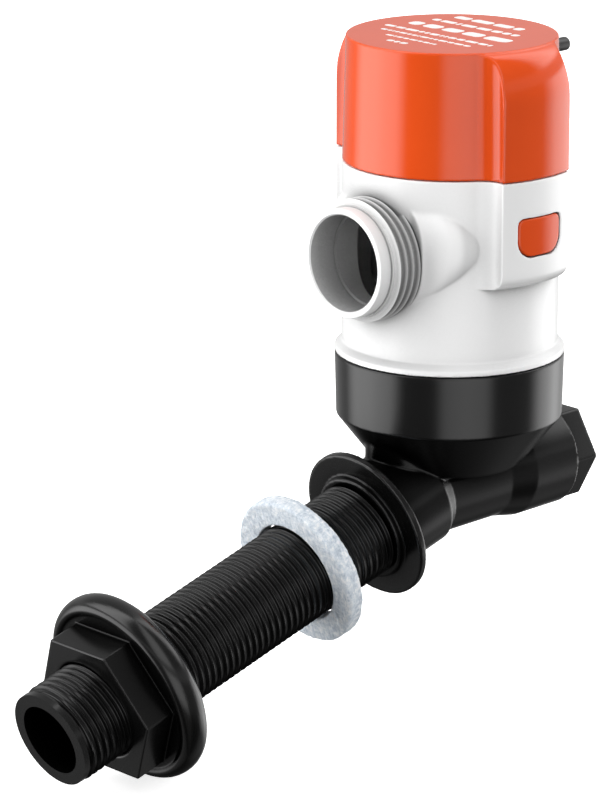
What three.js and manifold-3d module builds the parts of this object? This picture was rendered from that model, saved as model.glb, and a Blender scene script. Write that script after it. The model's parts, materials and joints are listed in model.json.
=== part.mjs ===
// Cartridge bilge pump with a through-hull intake, in millimetres, +Z up.
//
// The origin is the centre of the cap's flat top, on the upright axis of the motor. Heights in this
// file are measured from where that axis crosses the second intake port's axis, and the finished
// assembly is lowered by CAP_TOP.
// The outlet and the threaded intake shank point to -X, and the second intake port to +X.
// The motor cartridge hangs from the orange cap and lifts straight up out of the white housing,
// once the two release tabs in the housing's side bosses are pressed in.

import * as THREE from 'three';
import { mergeVertices } from 'three/addons/utils/BufferGeometryUtils.js';
import Module from 'manifold-3d';

// ---------------------------------------------------------------- driving dimensions

const GAP = 0.3; // clearance between neighbouring pieces
const WIDE = 40; // facets round the large mouldings
const MEDIUM = 24; // facets round the tubes
const FINE = 16; // facets round the small internal pieces

const BORE_R = 9.6; // 3/4 inch waterway

// Heights of the upright body.
const CONE_FOOT = 6.33;
const RING_FOOT = 19.65;
const JOIN_HEIGHT = 36.8; // base to housing
const PARTING_HEIGHT = 88.2; // housing to cap
const CAP_TOP = 121.5;

const BODY_R = 28.7; // housing wall
const RIM_R = 30.5; // foot flange of the housing, and the base's ring
const CHAMBER_R = 25.4; // inside of the housing
const SPIGOT_R = 24.9; // part of the base that enters the housing
const SPIGOT_TOP = 44;
const CAP_HOLLOW_R = 25.5; // inside of the cap

// Side bosses at +Y and -Y, on the housing and the cap, that hold the release tabs.
const BOSS_R = 33.8;
const BOSS_HALF_ANGLE = 21;
const BOSS_BLEND_ANGLE = 33;
const BOSS_FOOT = 59.5;
const POCKET_IN_R = 27.1;
const POCKET_OUT_R = 31.9;
const POCKET_HALF_WIDTH = 8.2;
const POCKET_LOW = 65.5;
const POCKET_HIGH = 109.3;

// D-shaped window of a release tab.
const TAB_HALF_WIDTH = 7.4;
const TAB_LOW = 68.2;
const TAB_HIGH = 78.3;
const TAB_TOP_CORNER = 2;
const TAB_FOOT_CORNER = 4.6;

// Sprung finger that carries the tab.
const FINGER_R = 30.2;
const FINGER_WIDTH = 13.6;
const FINGER_THICK = 1.2;
const FINGER_LOW = 66.4;

// Outlet, along -X.
const OUTLET_HEIGHT = 66.1;
const OUTLET_END = 38.7;
const OUTLET_BORE_R = 12.74;
const OUTLET_THREAD_R = 16.3;
const OUTLET_ROOT_R = 15;
const OUTLET_LIP_R = 14.45;
const OUTLET_THREAD_START = 24.8;

// The neck starts round behind the outlet's thread, and swells sideways and upwards over the
// housing wall. Each station is [x, rise of its centre, half width, half height].
const NECK_STATIONS = [
  [-9, 4.1, 25.4, 14.3],
  [-14, 4.1, 25.4, 14.3],
  [-19, 3.9, 24.2, 14.4],
  [-22.5, 3.1, 21.3, 14.7],
  [-25.4, 1.8, 16.4, 15],
  [-28.9, 0.9, 14.8, 14.9],
];

// Intake shank: its axis crosses the body axis and dips towards -X.
const SHANK_DIP = THREE.MathUtils.degToRad(17.52);
const SHANK_HEIGHT = 3.57;
const SHANK_R = 13.22;
const SHANK_TIP_R = 13;
const SHANK_END = -145;
const FLANGE_FACE = -32.3;
const FLANGE_THICK = 2.2;
const FLANGE_R = 20.8;
const FRONT_TUBE_R = 14.7;

// Tube that joins the shank to the upright body.
const RISER_X = -16;
const RISER_R = 10.6;
const ELBOW_X = -11.5;
const ELBOW_HEIGHT = -0.39;
const ELBOW_R = 12.6;

// Second intake port: its axis rises a little towards +X.
const PORT_RISE = THREE.MathUtils.degToRad(1.9);
const PORT_END = 43;
const PORT_BORE_R = 10.6;
const PORT_SEAT = 29;
const PORT_HEX_R = 13.9;
const REAR_TUBE_R = 12.74;
const REAR_SWELL_R = 14.2;

// Pieces on the shank, as places along its axis.
const NUT_FRONT = -129.8;
const NUT_BACK = -113.3;
const NUT_HEX_R = 20.82;
const FELT_FRONT = -58.3;
const FELT_BACK = -53.5;
const FELT_R = 20.6;

// Motor and rotor.
const WELL_R = 21;
const WELL_FOOT = 55;
const CAN_R = 18.2;
const CAN_FOOT = 58.6;
const CAN_TOP = 108;
const SHAFT_R = 1.59;
const IMPELLER_R = 20;
const STACK_FOOT = 68;
const STACK_TOP = 94;
const POLES = 3;

const CABLE_R = 1.85;
const CABLE_HEIGHT = 113.3;
const CABLE_END = 42.6;

// ---------------------------------------------------------------- materials

function finish(color, roughness, metalness = 0) {
  return new THREE.MeshStandardMaterial({ color, roughness, metalness });
}

const orange = finish(0xe85020, 0.3);
const white = finish(0xf0f1f2, 0.35);
const black = finish(0x1c1c1e, 0.3);
const felt = finish(0xdde3e8, 0.95);
const rubber = finish(0x161616, 0.8);
const sheath = finish(0x101010, 0.5);
const steel = finish(0xb9bcc0, 0.35, 1);
const lamination = finish(0x7d8084, 0.5, 1);
const copper = finish(0xb8693a, 0.35, 1);
const ferrite = finish(0x3a3a3d, 0.8);
const bronze = finish(0x9a7a4a, 0.5, 1);
const carbon = finish(0x2a2a2c, 0.7);
const nylon = finish(0xe6e2d6, 0.5);
const redWire = finish(0xb03028, 0.5);

// ---------------------------------------------------------------- solids

const wasm = await Module();
wasm.setup();

// A closed three.js geometry as a manifold solid, with its faces pointing out.
function solid(geometry) {
  geometry.deleteAttribute('normal');
  geometry.deleteAttribute('uv');
  const merged = mergeVertices(geometry, 1e-4);
  const position = merged.attributes.position;
  const corners = [0, 1, 2].map(() => new THREE.Vector3());
  const triangles = [];
  let volume = 0;
  for (let i = 0; i < merged.index.count; i += 3) {
    const [a, b, c] = [0, 1, 2].map((k) => merged.index.getX(i + k));
    if (a === b || b === c || c === a) continue;
    [a, b, c].forEach((v, k) => corners[k].fromBufferAttribute(position, v));
    volume += corners[0].dot(corners[1].clone().cross(corners[2]));
    triangles.push([a, b, c]);
  }
  const triVerts = Uint32Array.from(triangles.flatMap(([a, b, c]) => (volume > 0 ? [a, b, c] : [a, c, b])));
  return new wasm.Manifold(new wasm.Mesh({ numProp: 3, vertProperties: position.array, triVerts }));
}

function geometryOf(body) {
  const mesh = body.getMesh();
  const geometry = new THREE.BufferGeometry();
  geometry.setAttribute('position', new THREE.BufferAttribute(mesh.vertProperties, 3));
  geometry.setIndex(new THREE.BufferAttribute(mesh.triVerts, 1));
  geometry.computeVertexNormals();
  return geometry;
}

function piece(name, body, material) {
  const mesh = new THREE.Mesh(geometryOf(body), material);
  mesh.name = name;
  return mesh;
}

// A turned shape about Z from [radius, height] points. A profile that is off the axis closes on itself.
function turned(profile, facets) {
  const points = profile.map(([radius, height]) => new THREE.Vector2(radius, height));
  if (profile[0][0] > 0) points.push(points[0].clone());
  return new THREE.LatheGeometry(points, facets).rotateX(Math.PI / 2);
}

function rod(radius, low, high, facets) {
  return turned([[0, low], [radius, low], [radius, high], [0, high]], facets);
}

function tube(inner, outer, low, high, facets) {
  return turned([[inner, low], [outer, low], [outer, high], [inner, high]], facets);
}

function ring(middle, thickness, height, facets) {
  return new THREE.TorusGeometry(middle, thickness, 6, facets).translate(0, 0, height);
}

function prism(shape, low, high, curveSegments = 6) {
  const settings = { depth: high - low, bevelEnabled: false, curveSegments };
  return new THREE.ExtrudeGeometry(shape, settings).translate(0, 0, low);
}

function block(width, depth, low, high) {
  return new THREE.BoxGeometry(width, depth, high - low).translate(0, 0, (low + high) / 2);
}

function hexagon(radius) {
  const corners = [];
  for (let i = 0; i < 6; i += 1) {
    const angle = Math.PI / 2 + (i * Math.PI) / 3;
    corners.push(new THREE.Vector2(radius * Math.cos(angle), radius * Math.sin(angle)));
  }
  return new THREE.Shape(corners);
}

// Points of a quarter ellipse, as [radius, height], between two angles in degrees.
function ellipseArc(centre, semiAxes, from, to, steps) {
  const points = [];
  for (let i = 0; i <= steps; i += 1) {
    const angle = THREE.MathUtils.degToRad(from + ((to - from) * i) / steps);
    points.push([centre[0] + semiAxes[0] * Math.cos(angle), centre[1] + semiAxes[1] * Math.sin(angle)]);
  }
  return points;
}

// Places that geometry built along +Z is moved to.
function ontoShank(geometry) {
  return geometry.rotateY(Math.PI / 2 - SHANK_DIP).translate(0, 0, SHANK_HEIGHT);
}

function ontoPort(geometry) {
  return geometry.rotateY(Math.PI / 2 - PORT_RISE);
}

function ontoOutlet(geometry) {
  return geometry.rotateY(-Math.PI / 2).translate(0, 0, OUTLET_HEIGHT);
}

function joined(...bodies) {
  return bodies.reduce((sum, body) => sum.add(body));
}

// ---------------------------------------------------------------- side bosses and their pockets

function polar(radius, degrees) {
  const angle = THREE.MathUtils.degToRad(degrees);
  return new THREE.Vector2(radius * Math.sin(angle), radius * Math.cos(angle));
}

// Plan of one boss about +Y: it leaves the body wall in a hollow curve and ends in sharp corners.
function bossPlan() {
  const blend = BODY_R / Math.cos(THREE.MathUtils.degToRad(BOSS_BLEND_ANGLE - BOSS_HALF_ANGLE));
  const corner = THREE.MathUtils.degToRad(BOSS_HALF_ANGLE);
  const inside = polar(CHAMBER_R + 1, BOSS_BLEND_ANGLE);
  const root = polar(BODY_R - 0.1, BOSS_BLEND_ANGLE);
  const bend = polar(blend, BOSS_HALF_ANGLE);
  const edge = polar(BOSS_R, BOSS_HALF_ANGLE);
  const plan = new THREE.Shape();
  plan.moveTo(inside.x, inside.y);
  plan.lineTo(root.x, root.y);
  plan.quadraticCurveTo(bend.x, bend.y, edge.x, edge.y);
  plan.absarc(0, 0, BOSS_R, Math.PI / 2 - corner, Math.PI / 2 + corner, false);
  plan.quadraticCurveTo(-bend.x, bend.y, -root.x, root.y);
  plan.lineTo(-inside.x, inside.y);
  return plan;
}

// Both bosses between two heights, kept inside a turned envelope.
function bosses(low, high, envelope) {
  const one = solid(prism(bossPlan(), low, high));
  const other = solid(prism(bossPlan(), low, high).rotateZ(Math.PI));
  return joined(one, other).intersect(solid(turned(envelope, WIDE)));
}

// The two slots that the tabs' fingers hang in, open from one height to another.
function pockets(low, high) {
  const walls = solid(tube(POCKET_IN_R, POCKET_OUT_R, low, high, WIDE));
  return walls.intersect(solid(block(2 * POCKET_HALF_WIDTH, 4 * BOSS_R, low - 1, high + 1)));
}

// D-shaped bar along Y, seen from outside with its flat edge up.
function tabBar(clearance, from, to) {
  const half = TAB_HALF_WIDTH + clearance;
  const low = TAB_LOW - clearance;
  const high = TAB_HIGH + clearance;
  const face = new THREE.Shape();
  face.moveTo(-half + TAB_FOOT_CORNER, low);
  face.lineTo(half - TAB_FOOT_CORNER, low);
  face.quadraticCurveTo(half, low, half, low + TAB_FOOT_CORNER);
  face.lineTo(half, high - TAB_TOP_CORNER);
  face.quadraticCurveTo(half, high, half - TAB_TOP_CORNER, high);
  face.lineTo(-half + TAB_TOP_CORNER, high);
  face.quadraticCurveTo(-half, high, -half, high - TAB_TOP_CORNER);
  face.lineTo(-half, low + TAB_FOOT_CORNER);
  face.quadraticCurveTo(-half, low, -half + TAB_FOOT_CORNER, low);
  return prism(face, -to, -from, 4).rotateX(Math.PI / 2);
}

// ---------------------------------------------------------------- black intake base

function intakeBase() {
  const body = solid(turned([
    [0, CONE_FOOT - 0.8], [17.6, CONE_FOOT - 0.8], [19.67, CONE_FOOT], [30.1, RING_FOOT],
    [RIM_R, JOIN_HEIGHT - GAP - 0.6], [RIM_R - 0.5, JOIN_HEIGHT - GAP], [SPIGOT_R, JOIN_HEIGHT - GAP],
    [SPIGOT_R, 39.6], [26.1, 40.1], [SPIGOT_R, 40.6],
    [SPIGOT_R, 41.4], [23.4, 41.4], [23.4, 43.2], [SPIGOT_R, 43.2], [SPIGOT_R, SPIGOT_TOP], [0, SPIGOT_TOP],
  ], WIDE));
  const riser = solid(rod(RISER_R, -4, RING_FOOT + 1, MEDIUM).translate(RISER_X, 0, 0));
  const elbow = solid(new THREE.SphereGeometry(ELBOW_R, MEDIUM, 12).translate(ELBOW_X, 0, ELBOW_HEIGHT));
  const front = solid(ontoShank(turned([
    [0, SHANK_END], [SHANK_TIP_R - 0.6, SHANK_END], [SHANK_TIP_R, SHANK_END + 0.8],
    [SHANK_TIP_R, SHANK_END + 1.8], [SHANK_R, SHANK_END + 2.6], [SHANK_R, FLANGE_FACE - 2],
    [SHANK_R + 1.5, FLANGE_FACE - 2], [SHANK_R + 1.5, FLANGE_FACE],
    [FLANGE_R - 0.4, FLANGE_FACE], [FLANGE_R, FLANGE_FACE + 0.4],
    [FLANGE_R, FLANGE_FACE + FLANGE_THICK], [FRONT_TUBE_R, FLANGE_FACE + FLANGE_THICK],
    [FRONT_TUBE_R, -14], [FRONT_TUBE_R - 2, -10.5], [0, -10.5],
  ], MEDIUM)));
  const rear = solid(ontoPort(turned([
    [0, ELBOW_X], [REAR_TUBE_R, ELBOW_X], [REAR_TUBE_R, 12.1], [REAR_SWELL_R, 19.7],
    [REAR_SWELL_R, 35.4], [REAR_SWELL_R - 0.8, 36.6], [0, 36.6],
  ], MEDIUM)));
  const flats = solid(ontoPort(prism(hexagon(PORT_HEX_R), 34, PORT_END)));
  const chamber = solid(turned([
    [0, 8.6], [14, 9.4], [21.5, 20], [21.5, 40.9], [9.5, 40.9], [9.5, SPIGOT_TOP + 1], [0, SPIGOT_TOP + 1],
  ], MEDIUM));
  const shankBore = solid(ontoShank(rod(BORE_R, SHANK_END - 1, -8, MEDIUM)));
  const portBore = solid(ontoPort(rod(BORE_R, -14, PORT_SEAT + 1, MEDIUM)));
  const portThread = solid(ontoPort(rod(PORT_BORE_R, PORT_SEAT, PORT_END + 1, MEDIUM)));
  const throat = solid(rod(BORE_R, 0, 12, MEDIUM).translate(-4, 0, 0));
  return joined(body, riser, elbow, front, rear, flats)
    .subtract(joined(chamber, shankBore, portBore, portThread, throat));
}

// ---------------------------------------------------------------- white housing

// A cylinder whose rings are moved onto the neck's stations.
function outletNeck() {
  const spans = NECK_STATIONS.length - 1;
  const neck = new THREE.CylinderGeometry(1, 1, 1, MEDIUM, spans).rotateZ(-Math.PI / 2);
  const position = neck.attributes.position;
  for (let i = 0; i < position.count; i += 1) {
    const station = Math.round((0.5 + position.getX(i)) * spans);
    const [x, rise, halfWidth, halfHeight] = NECK_STATIONS[station];
    position.setXYZ(i, x, position.getY(i) * halfWidth, OUTLET_HEIGHT + rise + position.getZ(i) * halfHeight);
  }
  return solid(neck);
}

// The thread on the spout is one plain band of its outer size.
function outletSpout() {
  return solid(ontoOutlet(turned([
    [0, 20], [OUTLET_ROOT_R, 20], [OUTLET_ROOT_R, OUTLET_THREAD_START - 0.6],
    [OUTLET_THREAD_R, OUTLET_THREAD_START], [OUTLET_THREAD_R, OUTLET_END - 3.6],
    [OUTLET_LIP_R, OUTLET_END - 2.6], [OUTLET_LIP_R, OUTLET_END],
    [0, OUTLET_END],
  ], MEDIUM)));
}

function pumpHousing() {
  const wall = solid(turned([
    [0, JOIN_HEIGHT], [RIM_R, JOIN_HEIGHT], [RIM_R, 38], [28.9, 39.8],
    [BODY_R, 40.2], [BODY_R, PARTING_HEIGHT], [0, PARTING_HEIGHT],
  ], WIDE));
  const sideBosses = bosses(BOSS_FOOT, PARTING_HEIGHT, [
    [0, BOSS_FOOT], ...ellipseArc([BOSS_R - 4.4, BOSS_FOOT + 4.4], [4.5, 4.4], -90, 0, 4),
    [BOSS_R + 0.1, PARTING_HEIGHT], [0, PARTING_HEIGHT],
  ]);
  const chamber = solid(turned([
    [0, JOIN_HEIGHT - 1], [25.3, JOIN_HEIGHT - 1], [25.3, 39.3], [26.6, 39.3], [26.6, 40.9],
    [CHAMBER_R, 40.9], [CHAMBER_R, PARTING_HEIGHT + 1], [0, PARTING_HEIGHT + 1],
  ], WIDE));
  const outletBore = solid(ontoOutlet(turned([
    [0, 15], [11.9, 15], [11.9, 30],
    [OUTLET_BORE_R, 30], [OUTLET_BORE_R, OUTLET_END + 1], [0, OUTLET_END + 1],
  ], MEDIUM)));
  const windows = joined(
    solid(tabBar(GAP, POCKET_OUT_R - 2, BOSS_R + 2)),
    solid(tabBar(GAP, -BOSS_R - 2, -POCKET_OUT_R + 2)),
  );
  return joined(wall, sideBosses, outletNeck(), outletSpout())
    .subtract(joined(chamber, outletBore, windows, pockets(POCKET_LOW, PARTING_HEIGHT + 1)));
}

// ---------------------------------------------------------------- motor cartridge

function cartridgeCap() {
  const low = PARTING_HEIGHT + GAP;
  const edge = 1.2;
  const shell = solid(turned([
    [0, low], [28.65, low], [27.8, CAP_TOP - edge],
    ...ellipseArc([27.7 - edge, CAP_TOP - edge], [edge, edge], 30, 90, 3), [0, CAP_TOP],
  ], WIDE));
  const sideBosses = bosses(low, CAP_TOP, [
    [0, low], [BOSS_R + 0.1, low],
    ...ellipseArc([26.2, 106], [BOSS_R - 26.1, CAP_TOP - 106], 0, 90, 8), [0, CAP_TOP],
  ]);
  const roof = CAP_TOP - 3;
  const hollow = solid(turned([
    [0, low - 1], [CAP_HOLLOW_R, low - 1], [CAP_HOLLOW_R, roof - 1.5], [CAP_HOLLOW_R - 1.5, roof], [0, roof],
  ], WIDE));
  const cableHole = solid(rod(3.4, 20, 32, FINE).rotateY(Math.PI / 2).translate(0, 0, CABLE_HEIGHT));
  return joined(shell, sideBosses).subtract(joined(hollow, pockets(low - 1, POCKET_HIGH), cableHole));
}

// Sealed cup that keeps water off the motor: its collar plugs the housing and carries the seal.
function motorWell() {
  return solid(turned([
    [6, WELL_FOOT], [WELL_R - 2, WELL_FOOT], [WELL_R, WELL_FOOT + 2], [WELL_R, 80], [25.1, 82.5],
    [25.1, 84.2], [23.2, 84.2], [23.2, 86.6], [25.1, 86.6], [25.1, 96], [22.6, 96], [22.6, 88],
    [CAN_R + 0.4, 84], [CAN_R + 0.4, 58.2], [6, 58.2],
  ], WIDE));
}

function motorCan() {
  return solid(turned([
    [3, CAN_FOOT], [CAN_R, CAN_FOOT], [CAN_R, CAN_TOP], [CAN_R - 0.9, CAN_TOP],
    [CAN_R - 0.9, CAN_FOOT + 1.2], [3, CAN_FOOT + 1.2],
  ], MEDIUM));
}

function magnet(side) {
  const half = THREE.MathUtils.degToRad(62);
  const middle = (side * Math.PI) / 2;
  const arc = new THREE.Shape();
  arc.absarc(0, 0, 17, middle - half, middle + half, false);
  arc.absarc(0, 0, 13.8, middle + half, middle - half, true);
  return solid(prism(arc, 66, 96, 10));
}

function endBell() {
  return solid(tube(4.9, CAN_R - 1.2, 104.5, 107.5, MEDIUM));
}

function brush(side) {
  return solid(block(4, 5.6, 99.5, 103.5).translate(0, side * 7.2, 0));
}

// Leaf spring that pushes a brush towards the commutator, hung from the end bell.
function brushSpring(side) {
  const outline = [[10.4, 99.8], [10.8, 99.8], [10.9, 102], [12.6, 104.1], [12, 104.1], [10.5, 102.2]];
  const strip = new THREE.Shape(outline.map(([y, z]) => new THREE.Vector2(y, z)));
  const leaf = prism(strip, -1.5, 1.5).rotateX(Math.PI / 2).rotateZ(Math.PI / 2);
  return solid(side > 0 ? leaf : leaf.rotateZ(Math.PI));
}

function cableGland() {
  return solid(turned([[2.2, 22.8], [4.2, 22.8], [4.2, 24.8], [3.1, 24.8], [3.1, 28.6], [2.2, 28.6]], FINE)
    .rotateY(Math.PI / 2).translate(0, 0, CABLE_HEIGHT));
}

function powerCable() {
  return solid(rod(CABLE_R, 20, CABLE_END, FINE).rotateY(Math.PI / 2).translate(0, 0, CABLE_HEIGHT));
}

// One insulated lead, from the cable's inner end down to a terminal on the end bell.
function lead(side) {
  const wire = 0.75;
  const path = new THREE.CatmullRomCurve3([
    new THREE.Vector3(19.6, side * 1.1, CABLE_HEIGHT),
    new THREE.Vector3(14, side * 4, CABLE_HEIGHT + 1.4),
    new THREE.Vector3(8, side * 8.5, CABLE_HEIGHT),
    new THREE.Vector3(6, side * 9.5, 107.9),
  ]);
  const section = new THREE.Shape();
  section.absarc(0, 0, wire, 0, 2 * Math.PI, false);
  return solid(new THREE.ExtrudeGeometry(section, { steps: 12, extrudePath: path, curveSegments: 6 }));
}

// ---------------------------------------------------------------- rotor

function armatureCore() {
  const shoe = THREE.MathUtils.degToRad(50);
  let core = solid(rod(3.6, STACK_FOOT, STACK_TOP, FINE));
  for (let i = 0; i < POLES; i += 1) {
    const turn = (i * 2 * Math.PI) / POLES;
    const arc = new THREE.Shape();
    arc.absarc(0, 0, 13.2, -shoe, shoe, false);
    arc.absarc(0, 0, 10.9, shoe, -shoe, true);
    core = core.add(solid(prism(arc, STACK_FOOT, STACK_TOP, 8).rotateZ(turn)));
    core = core.add(solid(block(11, 4, STACK_FOOT, STACK_TOP).translate(6, 0, 0).rotateZ(turn)));
  }
  return core.subtract(solid(rod(SHAFT_R + 0.2, STACK_FOOT - 1, STACK_TOP + 1, FINE)));
}

function winding(index) {
  const middle = (STACK_FOOT + STACK_TOP) / 2;
  const outside = solid(new THREE.BoxGeometry(4.8, 9, 30.6).translate(7, 0, middle));
  const inside = solid(new THREE.BoxGeometry(8, 4.6, 26.6).translate(7, 0, middle));
  return outside.subtract(inside).rotate([0, 0, (index * 360) / POLES]);
}

function commutator() {
  let copperRing = solid(tube(SHAFT_R + 0.2, 4.1, 98, 104, FINE));
  for (let i = 0; i < POLES; i += 1) {
    const slot = block(1.2, 0.5, 97, 105).translate(4.2, 0, 0).rotateZ(((2 * i + 1) * Math.PI) / POLES);
    copperRing = copperRing.subtract(solid(slot));
  }
  return copperRing;
}

function impeller() {
  let wheel = solid(turned([
    [0, 46], [4, 46], [4.6, 47], [4.6, 51.4], [IMPELLER_R, 51.4], [IMPELLER_R, 53],
    [5, 53.2], [5, 54], [0, 54],
  ], MEDIUM));
  const vanes = 6;
  for (let i = 0; i < vanes; i += 1) {
    const vane = new THREE.Shape();
    vane.moveTo(4, -0.8);
    vane.quadraticCurveTo(12, 0, 18.6, 6.4);
    vane.lineTo(17.8, 7.8);
    vane.quadraticCurveTo(11.6, 1.6, 4, 0.8);
    wheel = wheel.add(solid(prism(vane, 46, 51.6, 5).rotateZ((i * 2 * Math.PI) / vanes)));
  }
  return wheel.subtract(solid(rod(SHAFT_R + 0.2, 45, 55, FINE)));
}

// ---------------------------------------------------------------- release tabs

// A sprung finger hangs from the cap inside a boss, and its D-shaped head fills the window.
function releaseTab(side) {
  const strip = block(FINGER_WIDTH, FINGER_THICK, FINGER_LOW, POCKET_HIGH - 0.4);
  const finger = solid(strip.translate(0, side * FINGER_R, 0));
  const reach = solid(rod(BOSS_R - 0.1, TAB_LOW - 5, TAB_HIGH + 5, WIDE));
  const bar = side > 0 ? tabBar(0, FINGER_R, BOSS_R + 2) : tabBar(0, -BOSS_R - 2, -FINGER_R);
  return finger.add(solid(bar).intersect(reach));
}

// ---------------------------------------------------------------- pieces on the shank and in the port

function hullNut() {
  const root = NUT_BACK - 8.6;
  const flange = solid(turned([
    [0, root], [20.5, root], [21.7, root + 1.6],
    ...ellipseArc([23.5, NUT_BACK - 3.7], [2.65, 3.4], -110, 60, 8), [23.7, NUT_BACK], [0, NUT_BACK],
  ], WIDE));
  const hex = solid(prism(hexagon(NUT_HEX_R), NUT_FRONT, root + 1));
  return flange.add(hex).subtract(solid(rod(SHANK_R + 0.8, NUT_FRONT - 1, NUT_BACK + 1, MEDIUM)));
}

function feltWasher() {
  return solid(tube(SHANK_R + 0.7, FELT_R, FELT_FRONT, FELT_BACK, WIDE));
}

function portPlug() {
  const body = solid(turned([[0, 31.2], [9.6, 31.2], [10.2, 31.9], [10.2, 42.2], [0, 42.2]], MEDIUM));
  return body.subtract(solid(prism(hexagon(5), 35, PORT_END)));
}

function plugSeal() {
  return solid(tube(7.2, 10.2, PORT_SEAT + GAP, 30.8, MEDIUM));
}

// ---------------------------------------------------------------- assembly

const pump = new THREE.Group();
pump.position.z = -CAP_TOP;

const base = new THREE.Group();
base.add(
  piece('intake_base', intakeBase(), black),
  piece('base_seal', solid(ring(24.35, 0.85, 42.3, WIDE)), rubber),
);

const housing = new THREE.Group();
housing.add(piece('pump_housing', pumpHousing(), white));

const cartridge = new THREE.Group();
cartridge.add(
  piece('cartridge_cap', cartridgeCap(), orange),
  piece('motor_well', motorWell(), black),
  piece('cartridge_seal', solid(ring(24.2, 0.95, 85.4, WIDE)), rubber),
  piece('motor_can', motorCan(), steel),
  piece('magnet_left', magnet(1), ferrite),
  piece('magnet_right', magnet(-1), ferrite),
  piece('end_bell', endBell(), nylon),
  piece('brush_left', brush(1), carbon),
  piece('brush_right', brush(-1), carbon),
  piece('brush_spring_left', brushSpring(1), bronze),
  piece('brush_spring_right', brushSpring(-1), bronze),
  piece('upper_bearing', solid(tube(SHAFT_R + 0.15, 4.6, 104.5, 107.5, FINE)), bronze),
  piece('lower_bearing', solid(tube(SHAFT_R + 0.15, 5, 60.1, 63.1, FINE)), bronze),
  piece('shaft_seal', solid(tube(SHAFT_R + 0.15, 5.7, 55.2, 58, FINE)), rubber),
  piece('cable_gland', cableGland(), rubber),
  piece('power_cable', powerCable(), sheath),
  piece('lead_positive', lead(1), redWire),
  piece('lead_negative', lead(-1), sheath),
);

const rotor = new THREE.Group();
rotor.add(
  piece('motor_shaft', solid(rod(SHAFT_R, 46.2, 108.2, FINE)), steel),
  piece('armature_core', armatureCore(), lamination),
  piece('commutator', commutator(), copper),
  piece('impeller', impeller(), nylon),
);
for (let i = 0; i < POLES; i += 1) {
  rotor.add(piece(`winding_${i + 1}`, winding(i), copper));
}
cartridge.add(
  rotor,
  piece('release_tab_left', releaseTab(1), orange),
  piece('release_tab_right', releaseTab(-1), orange),
);
housing.add(cartridge);

const shank = new THREE.Group();
shank.position.z = SHANK_HEIGHT;
shank.rotation.y = Math.PI / 2 - SHANK_DIP;
shank.add(piece('hull_nut', hullNut(), black), piece('felt_washer', feltWasher(), felt));

const port = new THREE.Group();
port.rotation.y = Math.PI / 2 - PORT_RISE;
port.add(piece('port_plug', portPlug(), black), piece('plug_seal', plugSeal(), rubber));

pump.add(base, housing, shank, port);

export default pump;
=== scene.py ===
import json
import math

import bpy
import numpy as np
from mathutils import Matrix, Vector


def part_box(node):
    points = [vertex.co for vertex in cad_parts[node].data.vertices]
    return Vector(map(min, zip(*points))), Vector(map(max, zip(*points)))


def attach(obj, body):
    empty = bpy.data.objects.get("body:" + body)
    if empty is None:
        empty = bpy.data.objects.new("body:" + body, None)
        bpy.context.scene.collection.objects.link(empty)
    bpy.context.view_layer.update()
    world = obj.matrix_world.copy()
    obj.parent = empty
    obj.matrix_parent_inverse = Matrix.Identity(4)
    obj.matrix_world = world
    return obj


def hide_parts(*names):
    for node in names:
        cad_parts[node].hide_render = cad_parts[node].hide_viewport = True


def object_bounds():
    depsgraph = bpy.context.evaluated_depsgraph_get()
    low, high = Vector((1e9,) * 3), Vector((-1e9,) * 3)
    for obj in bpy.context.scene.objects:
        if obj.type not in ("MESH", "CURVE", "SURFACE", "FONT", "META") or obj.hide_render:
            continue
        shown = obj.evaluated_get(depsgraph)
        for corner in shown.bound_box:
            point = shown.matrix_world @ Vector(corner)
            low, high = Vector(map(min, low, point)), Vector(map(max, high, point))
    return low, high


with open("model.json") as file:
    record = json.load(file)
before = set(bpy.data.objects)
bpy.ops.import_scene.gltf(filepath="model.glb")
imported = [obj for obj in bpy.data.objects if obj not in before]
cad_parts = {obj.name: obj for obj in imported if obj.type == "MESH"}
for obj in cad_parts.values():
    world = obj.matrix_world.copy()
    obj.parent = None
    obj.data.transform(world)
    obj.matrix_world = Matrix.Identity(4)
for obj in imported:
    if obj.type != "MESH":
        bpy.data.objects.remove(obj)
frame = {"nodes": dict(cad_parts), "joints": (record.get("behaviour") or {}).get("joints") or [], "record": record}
CAD_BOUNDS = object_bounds()

# Everything below is worked out in millimetres. Heights are measured from where the motor's upright
# axis crosses the second intake port's axis, and new_mesh() lifts a mesh from there to the frame.
MM = 0.001
CAP_TOP = 121.5
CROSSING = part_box("cartridge_cap")[1].z / MM - CAP_TOP


# ------------------------------------------------------------------ driving dimensions

def low(node, axis):
    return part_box(node)[0][axis] / MM - (CROSSING if axis == 2 else 0)


def high(node, axis):
    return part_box(node)[1][axis] / MM - (CROSSING if axis == 2 else 0)


def joint_axis(name):
    return np.array(next(j["axis"] for j in frame["joints"] if j["name"] == name))


# Body: the black base, the white housing and the orange cap share the motor's axis.
JOIN_HEIGHT = low("pump_housing", 2)
PARTING_HEIGHT = high("pump_housing", 2)
CAP_FOOT = low("cartridge_cap", 2)
RIM_R = high("pump_housing", 0)
BODY_R = RIM_R - 1.8
CAP_SHOULDER_R = BODY_R - 0.9
CHAMBER_R = 25.4
SKIRT_R = 25.3
RING_FOOT = 19.65
CONE_FOOT = 6.33
CONE_FOOT_R = 19.67

# The spigot of the base that carries the O-ring, and its groove.
SPIGOT_R = 24.9
SPIGOT_TOP = 44.0
GROOVE_R = 23.4
GROOVE_LOW = 41.4
GROOVE_HIGH = 43.2

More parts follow.
